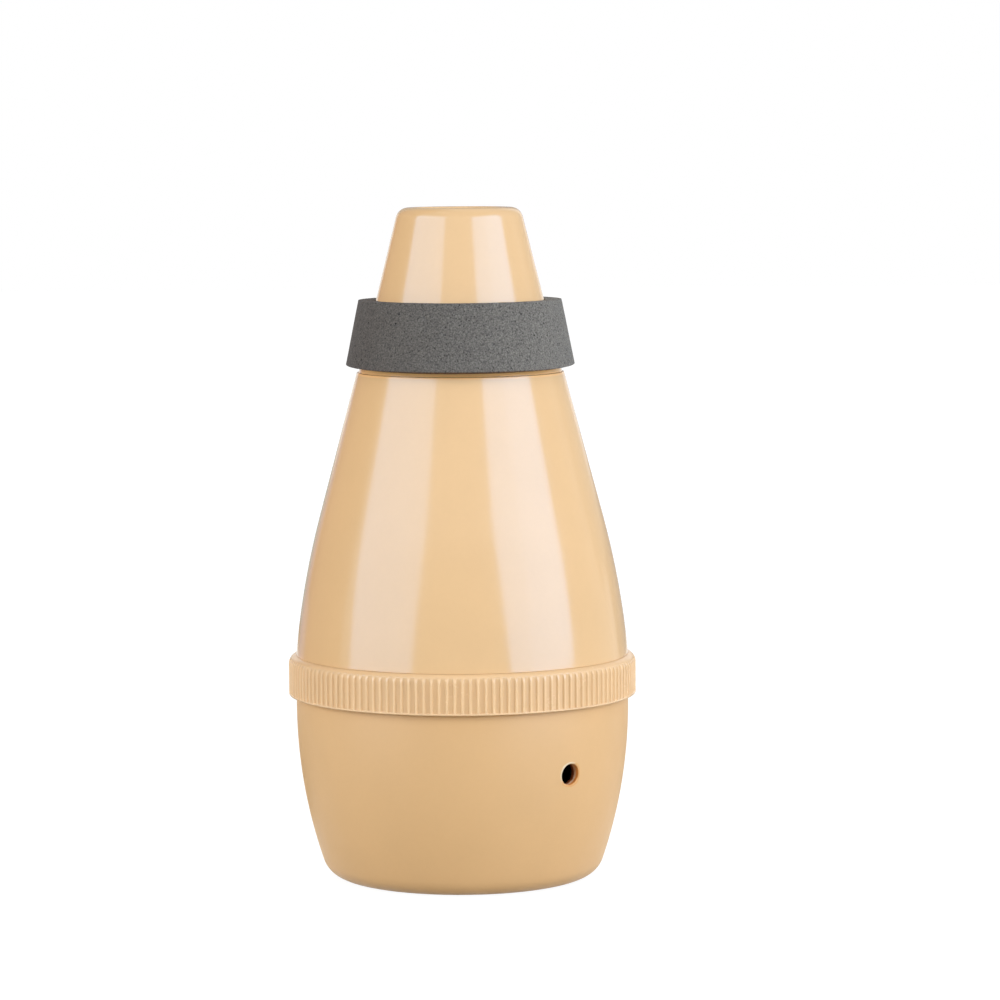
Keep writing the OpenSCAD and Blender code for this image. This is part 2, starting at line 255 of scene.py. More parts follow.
class RoundHole:
    """A round hole through a turned wall, towards an angle. The wall's outer rows go up from row outer, its
    inner rows go down from row inner, and the patch that the hole replaces is 2 * half cells each way."""

    def __init__(self, radius, z, angle, half, outer, inner, outside, inside, edge, ragged=0.0, slot=0):
        self.radius, self.z, self.angle, self.half = radius, z, angle, half
        self.outer, self.inner, self.slot = outer, inner, slot
        self.outside, self.inside = outside, inside
        self.edge, self.ragged = edge, ragged
        self.column = round(angle / (2 * math.pi) * COLUMNS) % COLUMNS

    def covers(self, row, column):
        """Whether the cell above a row, right of a column, is in the patch."""
        in_rows = any(start <= row < start + 2 * self.half for start in (self.outer, self.inner))
        return in_rows and (column - self.column + self.half) % COLUMNS < 2 * self.half

    def square(self):
        """Steps (u, w) from the patch's middle to each vertex on its border, anticlockwise."""
        h = self.half
        return (
            [(h, -h + s) for s in range(2 * h)]
            + [(h - s, h) for s in range(2 * h)]
            + [(-h, h - s) for s in range(2 * h)]
            + [(-h + s, -h) for s in range(2 * h)]
        )

    def border(self, grid, outer):
        """The grid's own vertices on the patch's border."""
        found = []
        for u, w in self.square():
            row = self.outer + w + self.half if outer else self.inner + self.half - w
            found.append(grid[row][(self.column + u) % COLUMNS])
        return found

    def spin(self, k):
        """Angle round the hole of the k-th vertex of a loop."""
        return math.pi * (2 * k / (8 * self.half) - 0.25)

    def patch(self, work, surface, heights, share):
        """A loop that lies on the surface, between the border at share 0 and the hole's edge at share 1."""
        loop = []
        reach = self.radius + self.edge
        for k, (u, w) in enumerate(self.square()):
            turn = self.spin(k)
            z_round = self.z + reach * math.sin(turn)
            angle_round = math.asin(reach * math.cos(turn) / surface(z_round))
            z = heights[w + self.half] * (1 - share) + z_round * share
            angle = u * 2 * math.pi / COLUMNS * (1 - share) + angle_round * share
            loop.append(work.verts.new(polar(surface(z), self.angle + angle, z)))
        return loop

    def throat(self, work, radius, depth, surface, rough=0.0):
        """A loop inside the hole: at a radius from the hole's axis and a depth below a surface."""
        loop = []
        waves = 2.3
        out = Vector((math.cos(self.angle), math.sin(self.angle), 0))
        side = Vector((-math.sin(self.angle), math.cos(self.angle), 0))
        for k in range(8 * self.half):
            turn = self.spin(k)
            around = Vector((math.cos(turn), math.sin(turn), rough))
            reach = radius - rough * (0.5 + noise.noise(around * waves))
            u, w = reach * math.cos(turn), reach * math.sin(turn)
            far = math.sqrt(surface(self.z + w) ** 2 - u * u) - depth
            place = out * far + side * u + Vector((0, 0, self.z + w))
            loop.append(work.verts.new(place * MM))
        return loop

    def fill(self, work, grid, heights):
        """Closes the patch with the hole's edge, wall and inner edge. The wall is torn from a share of its
        depth on."""
        torn_from, tear = 0.45, 8
        shares = [0.3, 0.55, 0.75, 0.9, 1.0]
        turns = [math.radians(a) for a in (22.5, 45, 67.5, 90)]
        wall = self.outside(self.z) - self.inside(self.z)
        loops = [self.border(grid, True)]
        loops += [self.patch(work, self.outside, heights, s) for s in shares]
        for a in turns:
            reach = self.radius + self.edge * (1 - math.sin(a))
            loops.append(self.throat(work, reach, self.edge * (1 - math.cos(a)), self.outside))
        for share in (0.2, torn_from, 0.52, 0.62, 0.75):
            rough = self.ragged * min(1, max(0, (share - torn_from) * tear))
            loops.append(self.throat(work, self.radius, wall * share, self.outside, rough))
        for a in reversed(turns):
            reach = self.radius + self.edge * (1 - math.sin(a))
            loops.append(self.throat(work, reach, -self.edge * (1 - math.cos(a)), self.inside, self.ragged))
        loops += [self.patch(work, self.inside, heights, s) for s in reversed(shares)]
        loops.append(self.border(grid, False))
        for i, (first, second) in enumerate(zip(loops, loops[1:])):
            bare = len(shares) - 1 <= i < len(loops) - len(shares) - 1
            join(work, first, second, self.slot if bare else 0)


def turned(name, rows, closed=True, shape=None, hole=None, heights=None):
    """Piece turned about the axis from rows (r, z). shape(angle, r, z) gives a changed radius. heights are
    the rows of the patch that a hole replaces."""
    work = bmesh.new()
    angles = [2 * math.pi * j / COLUMNS for j in range(COLUMNS)]
    grid = []
    for r, z in rows:
        if r < 1e-6:
            grid.append([work.verts.new((0, 0, z * MM))] * COLUMNS)
        else:
            grid.append([work.verts.new(polar(shape(a, r, z) if shape else r, a, z)) for a in angles])
    for i in range(len(rows) if closed else len(rows) - 1):
        covered = [j for j in range(COLUMNS) if hole and hole.covers(i, j)]
        join(work, grid[i], grid[(i + 1) % len(rows)], left_open=covered)
    if hole:
        hole.fill(work, grid, heights)
    return finished(name, work)


def ridge_height(angle, z, start_angle, start_z, turns):
    """How far a thread ridge stands out at an angle and a height, with ends that run out."""
    height = 0.0
    for k in range(-1, 4):
        turn = (angle - start_angle) / (2 * math.pi) + k
        end = min(1, max(0, min(turn, turns - turn) / thread_run_out + 0.5))
        away = abs(z - start_z - pitch * turn)
        t = min(1, max(0, (thread_half_foot - away) / thread_flank))
        height = max(height, end * thread_h * t * t * (3 - 2 * t))
    return height


def make_cup():
    """Satin cup with its foot, vent and male thread."""
    half = 6
    floor_mid_r = 12
    rim_in = 33.45
    heights = [vent_z + vent_row_step * i for i in range(-half, half + 1)]

    def corner(radius, step):
        """The bottom corner at a radius, from the foot to the side."""
        turns = [math.radians(d) for d in spaced(0, 90 - math.degrees(cup_side_angle), step)]
        return [(cup_corner_x + radius * math.sin(a), cup_corner_r - radius * math.cos(a)) for a in turns]

    def side(start, end, depth=0):
        """The side at a depth, without its two end rows."""
        return [(cup_side(z, depth), z) for z in spaced(start, end, cup_row_step)[1:-1]]

    corner_out = corner(cup_corner_r, 6)
    corner_in = corner(cup_corner_r - cup_wall, 9)
    gate = rounded(
        [(0, gate_depth, 0), (gate_r - 0.2, gate_depth, 0.1), (gate_r, 0, 0.1), (cup_corner_x, 0, 0)],
        closed=False,
    )
    # Foot and side, outside
    rows = gate[:-1] + corner_out + side(corner_out[-1][1], heights[0])
    outer = len(rows)
    rows += [(cup_side(z), z) for z in heights]
    rows += side(heights[-1], cup_crown) + [(cup_side(cup_crown), cup_crown)]
    # Shoulder, neck and rim
    rows += rounded(
        [(body_r, cup_crown, 0), (body_r, cup_h, 0.25), (neck_r, cup_h, 0.15),
         (neck_r, cup_h + neck_edge, 0)],
        closed=False,
    )[1:]
    rows += [(neck_r, z) for z in spaced(cup_h + neck_edge, neck_top - neck_edge, thread_row_step)[1:]]
    rows += rounded(
        [(neck_r, neck_top - neck_edge, 0), (neck_r, neck_top, 0.2), (neck_in_r, neck_top, 0.2),
         (neck_in_r, cup_crown, 0.2), (cup_side(rim_in, cup_wall), rim_in, 0)],
        closed=False,
    )[1:]
    # Side and floor, inside
    rows += side(rim_in, heights[-1], cup_wall)
    inner = len(rows)
    rows += [(cup_side(z, cup_wall), z) for z in reversed(heights)]
    rows += side(heights[0], corner_in[-1][1], cup_wall)
    rows += corner_in[::-1] + [(floor_mid_r, cup_wall), (0, cup_wall)]
    hole = RoundHole(
        vent_r, vent_z, vent_angle, half, outer, inner,
        cup_side, lambda z: cup_side(z, cup_wall), edge=0.2, ragged=0.16, slot=1,
    )

    def threaded(angle, r, z):
        """Radius of the neck with its thread."""
        if abs(r - neck_r) > 0.001 or not cup_h + neck_edge / 2 < z < neck_top:
            return r
        return r + ridge_height(angle, z, cup_thread_start, cup_thread_z, cup_thread_turns)

    return turned("satin_cup", rows, closed=False, shape=threaded, hole=hole, heights=heights)


def rib_relief(away):
    """Height of a rounded rib over the groove's floor, at a distance from the rib's middle line."""
    flat, foot, ease = 0.13, 0.36, 0.65
    if away >= foot:
        return 0.0
    t = max(0.0, (away - flat) / (foot - flat))
    return (ring_r - groove_r) * (1 - t * t * (3 - 2 * t) * ease - (1 - ease) * t ** 3)


def make_ring():
    """Ribbed screw ring with rounded ribs, a plain lip, the inward flange and the female thread."""
    work = bmesh.new()
    period = 2 * math.pi / ribs
    width = period * ring_r
    offsets = [0, 0.12, 0.17, 0.23, 0.29, 0.36, 0.48]
    around = offsets + [width / 2] + [width - o for o in reversed(offsets[1:])]
    columns = []
    for i in range(ribs):
        for offset in around:
            columns.append((i * period + offset / ring_r, rib_relief(min(offset, width - offset))))
    round_z = ring_top + seam_fill - ring_round
    ribs_low = ring_foot + 0.8
    bottom = [(ring_r - 0.2, ring_foot), (ring_r - 0.06, ring_foot + 0.05), (ring_r, ring_foot + 0.16)]
    plain = [(ring_r, z) for z in (ring_foot + 0.25, ring_foot + lip_h - 0.02)]
    ribbed = [(ring_r, z) for z in (ring_foot + lip_h + 0.05, ring_foot + lip_h + 0.12, ribs_low)]
    ribbed += [(ring_r, z) for z in spaced(ribs_low, round_z, 1.2)[1:]]
    turns = (6, 12, 18, 24, 30, 34, 38, 42, 46, 52, 60, 68, 76, 84, 90)
    loops = []
    for r, z in bottom + plain + ribbed + arc(ring_r - ring_round, round_z, ring_round, turns):
        grooved = z > ring_foot + lip_h
        loop = []
        for angle, relief in columns:
            reach = min(r, groove_r + relief) if grooved else r
            loop.append(work.verts.new(polar(reach, angle, z)))
        loops.append(loop)
    for first, second in zip(loops, loops[1:]):
        join(work, first, second)
    edge = 0.5
    inside = rounded(
        [(ring_hole_r + edge, ring_top + seam_fill, 0), (ring_hole_r, ring_top, 0.15),
         (ring_hole_r, ring_seat, 0.15), (ring_bore_r, ring_seat, 0.1), (ring_bore_r, ring_seat - edge, 0)],
        closed=False,
    )
    inside += [(ring_bore_r, z) for z in spaced(ring_seat - edge, ring_foot + edge, thread_row_step)[1:]]
    inside += [(ring_bore_r, ring_foot + edge / 2), (ring_bore_r + 0.2, ring_foot)]
    count = ribs * 2
    inner_loops = []
    for r, z in inside:
        loop = []
        for c in range(count):
            angle = c * period / 2
            cut = 0.0
            if abs(r - ring_bore_r) < 0.001 and ring_foot + 0.3 < z < ring_seat - 0.3:
                cut = ridge_height(angle, z, ring_thread_start, ring_thread_z, ring_thread_turns)
            loop.append(work.verts.new(polar(r - cut, angle, z)))
        inner_loops.append(loop)
    for first, second in zip(inner_loops, inner_loops[1:]):
        join(work, first, second)
    step = len(around) // 2
    for outer, inner in ((loops[-1], inner_loops[0]), (loops[0], inner_loops[-1])):
        for c in range(count):
            n = (c + 1) % count
            along = [outer[(c * step + k) % len(outer)] for k in range(step + 1)]
            work.faces.new(along + [inner[n], inner[c]])
    return finished("ribbed_ring", work)


def make_shell():
    """Glossy tapering shell with its socket, ledge and plug seat."""
    ledge_r = socket_r - socket_ledge
    ledge_top = socket_top + socket_ledge
    seat = plug_low - glue_gap
    flare = seat - (shell_r(seat) - shell_wall - plug_seat_r)
    wall_low = ledge_top + shell_wall
    round_low = shoulder - 0.9
    side = [(shell_r(z), z, 0) for z in spaced(shell_low + 0.8, round_low, turned_row_step)]
    inside = [(shell_r(z) - shell_wall, z, 0) for z in spaced(flare, wall_low, 2)]
    corners = (
        [(socket_r, shell_low, 0.15), (shell_r(shell_low), shell_low, 0.03)]
        + side
        + [(shoulder_r, shoulder, 0.1), (plug_seat_r, shoulder, 0.15), (plug_seat_r, seat, 0.1)]
        + inside
        + [(ledge_r, ledge_top, 0), (ledge_r, socket_top, 0.05), (socket_r, socket_top, 0.05)]
    )
    return turned("gloss_shell", rounded(corners, steps=6))


def make_nose():
    """Glossy nose frustum with its rounded tip, funnel, spigot and plug."""
    hollow = tip - rim_t
    hollow_low = nose_foot + plug_wall
    funnel_out = throat_r + (mouth_r - throat_r) * (hollow - funnel_low) / (tip - funnel_low - mouth_round)
    lean = math.atan(nose_taper)
    funnel_lean = 14
    round_z = tip - nose_round
    round_x = nose_r(round_z) - nose_round / math.cos(lean)
    edge = [(r, z, 0) for r, z in arc(round_x, round_z, nose_round, spaced(math.degrees(lean), 90, 6))]
    lip_turns = spaced(90, 180 - funnel_lean, 8)
    lip = [(r, z, 0) for r, z in arc(mouth_r + mouth_round, tip - mouth_round, mouth_round, lip_turns)]
    side = [(nose_r(z), z, 0) for z in spaced(nose_foot + 0.8, edge[0][1] - 0.15, turned_row_step)]
    corners = (
        [(plug_r - plug_wall, plug_low, 0.2), (plug_r, plug_low, 0.3), (plug_r, nose_foot, 0.05),
         (nose_foot_r, nose_foot, 0.03)]
        + side + edge + lip
        + [(throat_r, funnel_low, 0.8), (throat_r, funnel_low - spigot_h, 0.2),
           (spigot_r, funnel_low - spigot_h, 0.2), (spigot_r, funnel_low, 0.3),
           (funnel_out + 1.3, hollow, 0.4), (nose_r(hollow) - nose_wall, hollow, 0.6),
           (nose_r(hollow_low) - nose_wall, hollow_low, 0), (plug_r - plug_wall, nose_foot, 0)]
    )
    return turned("gloss_nose", rounded(corners, steps=5))


def grain(x, y, z, size):
    """Smooth seeded noise at a place in millimetres, from -1 to 1, with lumps of a size."""
    return noise.noise(Vector((x, y, z)) / size)


def foam_turned(name, corners, step, pores, reach, seed, lumps, tilt=0.0):
    """Turned foam piece with lumps and open pores cut into it. corners is a closed outline (r, z,
    rounding); pores is how many pores there are to a square centimetre; reach gives the pores' smallest
    and largest radius. tilt raises the lower edge towards the back."""
    pore_depth, coarse, fine = 0.8, 7, 1.1
    rows = rounded(corners, steps=3, longest=step)
    count = len(rows)
    middle_r = sum(r for r, z in rows) / count
    columns = 4 * round(2 * math.pi * middle_r / step / 4)
    low = min(z for r, z in rows)
    high = max(z for r, z in rows)
    normals = []
    for i, (r, z) in enumerate(rows):
        along = Vector(rows[(i + 1) % count]) - Vector(rows[i - 1])
        normals.append(Vector((along.y, -along.x)).normalized())
    lengths = [0.0]
    area = 0.0
    for a, b in zip(rows, rows[1:] + rows[:1]):
        side = (Vector(b) - Vector(a)).length
        lengths.append(lengths[-1] + side)
        area += math.pi * (a[0] + b[0]) * side
    dents = [[0.0] * columns for _ in rows]
    draw = random.Random(seed)
    for _ in range(int(area / 100 * pores)):
        at = draw.random() * lengths[-1]
        turn = draw.random() * columns
        size = reach[0] + (reach[1] - reach[0]) * draw.random() ** 3
        row = min(range(count), key=lambda i: abs(lengths[i] - at))
        cell = 2 * math.pi * rows[row][0] / columns
        span = int(size / cell) + 1
        for i in range(row - int(size / step) - 3, row + int(size / step) + 4):
            along = lengths[i % count] - at
            if abs(along) > size:
                continue
            for j in range(int(turn) - span, int(turn) + span + 2):
                away = math.hypot(along, (j - turn) * cell) / size
                if away < 1:
                    dent = size * pore_depth * (1 - away * away) ** 1.5
                    dents[i % count][j % columns] = max(dents[i % count][j % columns], dent)
    work = bmesh.new()
    loops = []
    for i, (r, z) in enumerate(rows):
        loop = []
        for j in range(columns):
            angle = 2 * math.pi * j / columns
            x, y = r * math.cos(angle), r * math.sin(angle)
            swell = grain(x, y, z + seed, coarse) * 0.7 + grain(x, y, z + seed, fine) * 0.3
            lump = lumps * (swell - 0.4)
            away = normals[i] * (lump - dents[i][j])
            back = 0.5 + 0.5 * math.sin(angle)
            rise = tilt * back * (1 - 0.3 * back) * (high - z) / (high - low)
            loop.append(work.verts.new(polar(r + away.x, angle, z + away.y + rise)))
        loops.append(loop)
    for first, second in zip(loops, loops[1:] + loops[:1]):
        join(work, first, second)
    return finished(name, work)


def make_foam_ring():
    """Dark foam ring on the nose."""
    corners = [
        (nose_r(foam_low) + foam_gap, foam_low, 0.2), (nose_r(foam_low) + foam_low_t, foam_low, 0.15),
        (nose_r(foam_top) + foam_top_t, foam_top + 0.05, 0.06), (nose_r(foam_top) + foam_gap, foam_top, 0.2),
    ]
    return foam_turned("bell_foam_ring", corners, 0.22, 70, (0.14, 0.3), 11, 0.04, tilt=foam_tilt)


def make_shell_foam():
    """Damping foam sleeve inside the shell."""
    clear, thick, row_step = 4, 5, 4
    low, high = socket_top + clear, plug_low - clear
    outer, inner = shell_wall + foam_gap, shell_wall + foam_gap + thick
    corners = [(shell_r(z) - outer, z, 0.6 if z in (low, high) else 0) for z in spaced(low, high, row_step)]
    corners += [(shell_r(z) - inner, z, 1.2 if z in (low, high) else 0) for z in spaced(high, low, row_step)]
    return foam_turned("shell_foam_sleeve", corners, 0.9, 30, (0.9, 1.6), 23, 0.4)


def make_cup_foam():
    """Damping foam band inside the cup, cut open round the vent."""
    low, high, thick, half, opening_r = 9, 32.85, 4, 12, 6
    heights = [vent_z + vent_row_step * i for i in range(-half, half + 1)]
    outer, inner = cup_wall + foam_gap, cup_wall + foam_gap + thick
    rim_high = rounded(
        [(cup_side(heights[-1], outer), heights[-1], 0), (cup_side(high, outer), high, 0.3),
         (cup_side(high, inner), high, 0.3), (cup_side(heights[-1], inner), heights[-1], 0)],
        closed=False, longest=0.8,
    )
    rim_low = rounded(
        [(cup_side(heights[0], inner), heights[0], 0), (cup_side(low, inner), low, 1),
         (cup_side(low, outer), low, 0.6), (cup_side(heights[0], outer), heights[0], 0)],
        closed=False, longest=0.8,
    )
    rows = [(cup_side(z, outer), z) for z in heights] + rim_high[1:-1]
    start_in = len(rows)
    rows += [(cup_side(z, inner), z) for z in reversed(heights)] + rim_low[1:-1]
    hole = RoundHole(
        opening_r, vent_z, vent_angle, half, 0, start_in,
        lambda z: cup_side(z, outer), lambda z: cup_side(z, inner), edge=0.5, ragged=0.3,
    )

    def lumpy(angle, r, z):
        """Radius with lumps, larger inside than against the cup's wall."""
        x, y = r * math.cos(angle), r * math.sin(angle)
        lump = 0.25 * grain(x, y, z, 6) + 0.12 * grain(x, y, z, 1.5)
        return r - 0.2 + lump if r < cup_side(z, outer + 1) else r - 0.08 + 0.05 * lump

    return turned("cup_foam_band", rows, shape=lumpy, hole=hole, heights=heights)


def make_floor_foam():
    """Damping foam disc on the cup's floor, with a slightly crowned top."""
    lift, crown, thick, smooth_r = 0.05, 0.25, 4, 20
    radius, low, high = cup_corner_x - 1, cup_wall + foam_gap, cup_wall + foam_gap + thick
    edge = rounded(
        [(0, low + lift, 0), (radius, low + lift, 0.4), (radius - 0.3, high - crown, 0.9), (0, high, 0)],
        closed=False, longest=0.8,
    )

    def lumpy(angle, r, z):
        """Radius with lumps near the disc's edge."""
        return r - 0.1 * (1 + grain(r * math.cos(angle), r * math.sin(angle), z, 3)) if r > smooth_r else r

    return turned("cup_foam_disc", edge, closed=False, shape=lumpy)


class Nodes:
    """A node tree under construction."""

    def __init__(self, tree):
        self.tree = tree

    def add(self, kind, **settings):
        """A new node with its settings."""
        node = self.tree.nodes.new(kind)
        for key, value in settings.items():
            setattr(node, key, value)
        return node

    def feed(self, target, value):
        """Joins an input to another node's socket, or sets it to a constant."""
        if isinstance(value, bpy.types.NodeSocket):
            self.tree.links.new(value, target)
        else:
            target.default_value = value

    def made(self, kind, *values, **settings):
        """First output of a new node with its settings and its first inputs."""
        node = self.add(kind, **settings)
        for target, value in zip(node.inputs, values):
            self.feed(target, value)
        return node.outputs[0]

    def vector_math(self, operation, first, second=None, output="Vector"):
        """Output of a vector operation on one or two vectors."""
        node = self.add("ShaderNodeVectorMath", operation=operation)
        self.feed(node.inputs[0], first)
        if second is not None:
            self.feed(node.inputs[1], second)
        return node.outputs[output]

    def spread(self, value, low, high, start=0.3, end=0.7):
        """Maps a value's middle part onto a range."""
        return self.made("ShaderNodeMapRange", value, start, end, low, high)

    def ramp(self, value, stops):
        """Colours along a value. stops is a list of (place, colour)."""
        node = self.add("ShaderNodeValToRGB")
        for _ in range(len(stops) - 2):
            node.color_ramp.elements.new(0.5)
        for element, (place, colour) in zip(node.color_ramp.elements, stops):
            element.position = place
            element.color = (*colour, 1)
        self.feed(node.inputs["Fac"], value)
        return node.outputs["Color"]

    def finish(self, kind, shader):
        """Gives the tree its output."""
        self.feed(self.add(kind).inputs["Surface"], shader)

    def seen_ray(self):
        """Socket that is 1 for the camera's rays and for those that reflections and clear pieces send on."""
        path = self.add("ShaderNodeLightPath").outputs
        total = path["Is Camera Ray"]
        for kind in ("Is Glossy Ray", "Is Transmission Ray"):
            total = self.made("ShaderNodeMath", total, path[kind], operation="MAXIMUM")
        return total


class Look(Nodes):
    """A material of one of the pieces."""

    def __init__(self, name):
        self.material = bpy.data.materials.new(name)
        self.material.use_nodes = True
        super().__init__(self.material.node_tree)
        self.shader = self.tree.nodes["Principled BSDF"]
        self.place = self.add("ShaderNodeTexCoord").outputs["Object"]

    def noise(self, lump_mm, detail=2, rough=0.5):
        """Noise over the surface, with lumps of a size in millimetres."""
        node = self.add("ShaderNodeTexNoise")
        node.inputs["Scale"].default_value = 1 / (lump_mm * MM)
        node.inputs["Detail"].default_value = detail
        node.inputs["Roughness"].default_value = rough
        self.feed(node.inputs["Vector"], self.place)
        return node.outputs["Fac"]

    def cells(self, size_mm):
        """Distance to the nearest of many scattered points, a size in millimetres apart."""
        node = self.add("ShaderNodeTexVoronoi")
        node.inputs["Scale"].default_value = 1 / (size_mm * MM)
        self.feed(node.inputs["Vector"], self.place)
        return node.outputs["Distance"]

    def coordinate(self, axis):
        """The place along an axis, in metres."""
        split = self.add("ShaderNodeSeparateXYZ")
        self.feed(split.inputs[0], self.place)
        return split.outputs[axis]

    def sum(self, first, second, share):
        """first plus share times second."""
        return self.made("ShaderNodeMath", second, share, first, operation="MULTIPLY_ADD")

    def mix(self, first, second, factor, blend="MIX"):
        """Mixes two colours."""
        node = self.add("ShaderNodeMix", data_type="RGBA", blend_type=blend)
        for index, value in ((0, factor), (6, first), (7, second)):
            self.feed(node.inputs[index], value)
        return node.outputs[2]

    def times(self, first, second):
        """Two colours multiplied."""
        return self.mix(first, second, 1.0, "MULTIPLY")

    def bump(self, height, depth_mm, normal=None):
        """Bump from a height of 0 to 1, a depth in millimetres."""
        node = self.add("ShaderNodeBump")
        node.inputs["Distance"].default_value = depth_mm * MM
        self.feed(node.inputs["Height"], height)
        if normal:
            self.feed(node.inputs["Normal"], normal)
        return node.outputs["Normal"]

    def set(self, **values):
        """Constants and sockets on the shader, by their names with spaces as underscores."""
        for key, value in values.items():
            self.feed(self.shader.inputs[key.replace("_", " ")], value)


def linear(colour):
    """Linear colour of an sRGB colour of 0 to 255."""
    return tuple(
        (c / 255 / 12.92) if c / 255 <= 0.04045 else ((c / 255 + 0.055) / 1.055) ** 2.4 for c in colour
    )


def shade(colour, *factors):
    """A colour made lighter or darker, by one factor or by one for each channel."""
    return tuple(c * f for c, f in zip(colour, factors if len(factors) > 1 else factors * 3))


def plastic(name, colour, rough, grain_mm, grain_depth, ripple_depth, shine=0.5, groove_shade=None, glow=None):
    """Moulded plastic: faint flow clouds in its colour, uneven polish, grain and long ripples. The grooves'
    painted shade is given as (floor, top, shade of the floor): radii between which the colour goes from
    darker at the groove floor to plain at the rib tops. glow is (low, high, tint): heights between which
    the colour is painted lighter and warmer, a painted glow in place of light coming through a thin edge."""
    look = Look(name)
    base = linear(colour)
    clouds = look.noise(14, detail=3)
    flecks = look.noise(0.9)
    tone = look.ramp(look.sum(clouds, flecks, 0.25), [(0.35, shade(base, 0.975)), (0.85, shade(base, 1.02))])
    # Painted shade in the grooves: the colour is darker towards the groove floor.
    if groove_shade:
        floor_r, top_r, painted_shade = groove_shade
        flat = look.vector_math("MULTIPLY", look.place, (1, 1, 0))
        radius = look.vector_math("LENGTH", flat, output="Value")
        level = look.spread(radius, 0.0, 1.0, floor_r * MM, top_r * MM)
        tone = look.times(tone, look.ramp(level, [(0.15, painted_shade), (0.85, (1, 1, 1))]))
    # Painted glow: a band of heights is painted lighter and warmer.
    if glow:
        low, high, tint = glow
        margin = 1
        peak = max(tint)
        level = look.spread(look.coordinate("Z"), 0.0, 1.0, (low - margin) * MM, (high + margin) * MM)
        edge = margin / (high - low + 2 * margin)
        plain, lit = (1 / peak,) * 3, shade(tint, 1 / peak)
        painted_glow_band = look.ramp(level, [(0.6 * edge, plain), (edge, lit), (1 - edge, lit), (1 - 0.6 * edge, plain)])
        tone = look.times(tone, look.vector_math("MULTIPLY", painted_glow_band, (peak,) * 3))
    polish = look.spread(look.sum(look.noise(5), look.noise(0.6), 0.4), rough[0], rough[1], 0.45, 0.95)
    ripple = look.bump(look.noise(6, detail=1), ripple_depth)
    skin = look.bump(look.noise(grain_mm), grain_depth, ripple)
    look.set(Base_Color=tone, Roughness=polish, Normal=skin, IOR=1.5, Specular_IOR_Level=shine)
    return look.material


def bore_look(name, colour):
    """The drilled vent: a rim with a painted highlight at its upper left that turns warmer towards its lower
    right, a wall painted amber for light that the cream plastic passes on inside the hole, a paler torn
    ridge, and painted shade that darkens the torn part high up and the wall deep inside."""
    look = Look(name)
    base = linear(colour)
    out = Vector((math.cos(vent_angle), math.sin(vent_angle), 0))
    centre = out * cup_side(vent_z) * MM + Vector((0, 0, vent_z * MM))
    left = Vector((math.sin(vent_angle), -math.cos(vent_angle), 0))

    def along(direction, low, high):
        """Share of the way from low to high, in millimetres from the vent's centre, in a direction."""
        level = look.vector_math("DOT_PRODUCT", look.place, direction, "Value")
        start = centre.dot(direction)
        return look.spread(level, 0.0, 1.0, start + low * MM, start + high * MM)

    up = Vector((0, 0, 1))
    up_left = (left + up * 0.9).normalized()
    # Painted highlight: the rim is pale at its upper left and warmer towards its lower right.
    painted_rim_light = look.ramp(along(up_left, -vent_r, vent_r), [
        (0.2, shade(base, 1, 0.85, 0.66)), (0.6, shade(base, 1, 0.92, 0.82)), (0.85, (0.8, 0.66, 0.47))])
    inward = (out - up * (0.8 * (cup_crown - vent_z) / cup_side_r)).normalized()
    level = along(inward, 0, -cup_wall)
    ragged = look.sum(level, look.noise(0.5), 0.1)
    # Painted light and shade: the wall is amber near the surface and dark deep inside.
    wall = look.ramp(ragged, [
        (0.16, (0.9, base[1] * 0.76, base[2] * 0.38)), (0.42, (0.82, base[1] * 0.66, base[2] * 0.32)),
        (0.5, (0.85, 0.62, 0.42)), (0.62, (0.78, 0.5, 0.33)),
        (0.72, shade(base, 0.36, 0.16, 0.09)), (1.0, shade(base, 0.26, 0.11, 0.06))])
    # Painted shade: the torn part of the wall is darker high up.
    painted_shade = look.ramp(along(up, -vent_r, vent_r), [(0.2, (1, 1, 1)), (0.6, (0.55, 0.42, 0.32))])
    torn = look.ramp(ragged, [(0.42, (0, 0, 0)), (0.5, (1, 1, 1))])
    wall = look.mix(wall, look.times(wall, painted_shade), torn)
    tone = look.mix(painted_rim_light, wall, look.ramp(level, [(0.07, (0, 0, 0)), (0.13, (1, 1, 1))]))
    look.set(Base_Color=tone, Roughness=look.spread(look.noise(0.4), 0.45, 0.6), Specular_IOR_Level=0.2)
    look.set(Normal=look.bump(look.noise(0.25), 0.03))
    return look.material


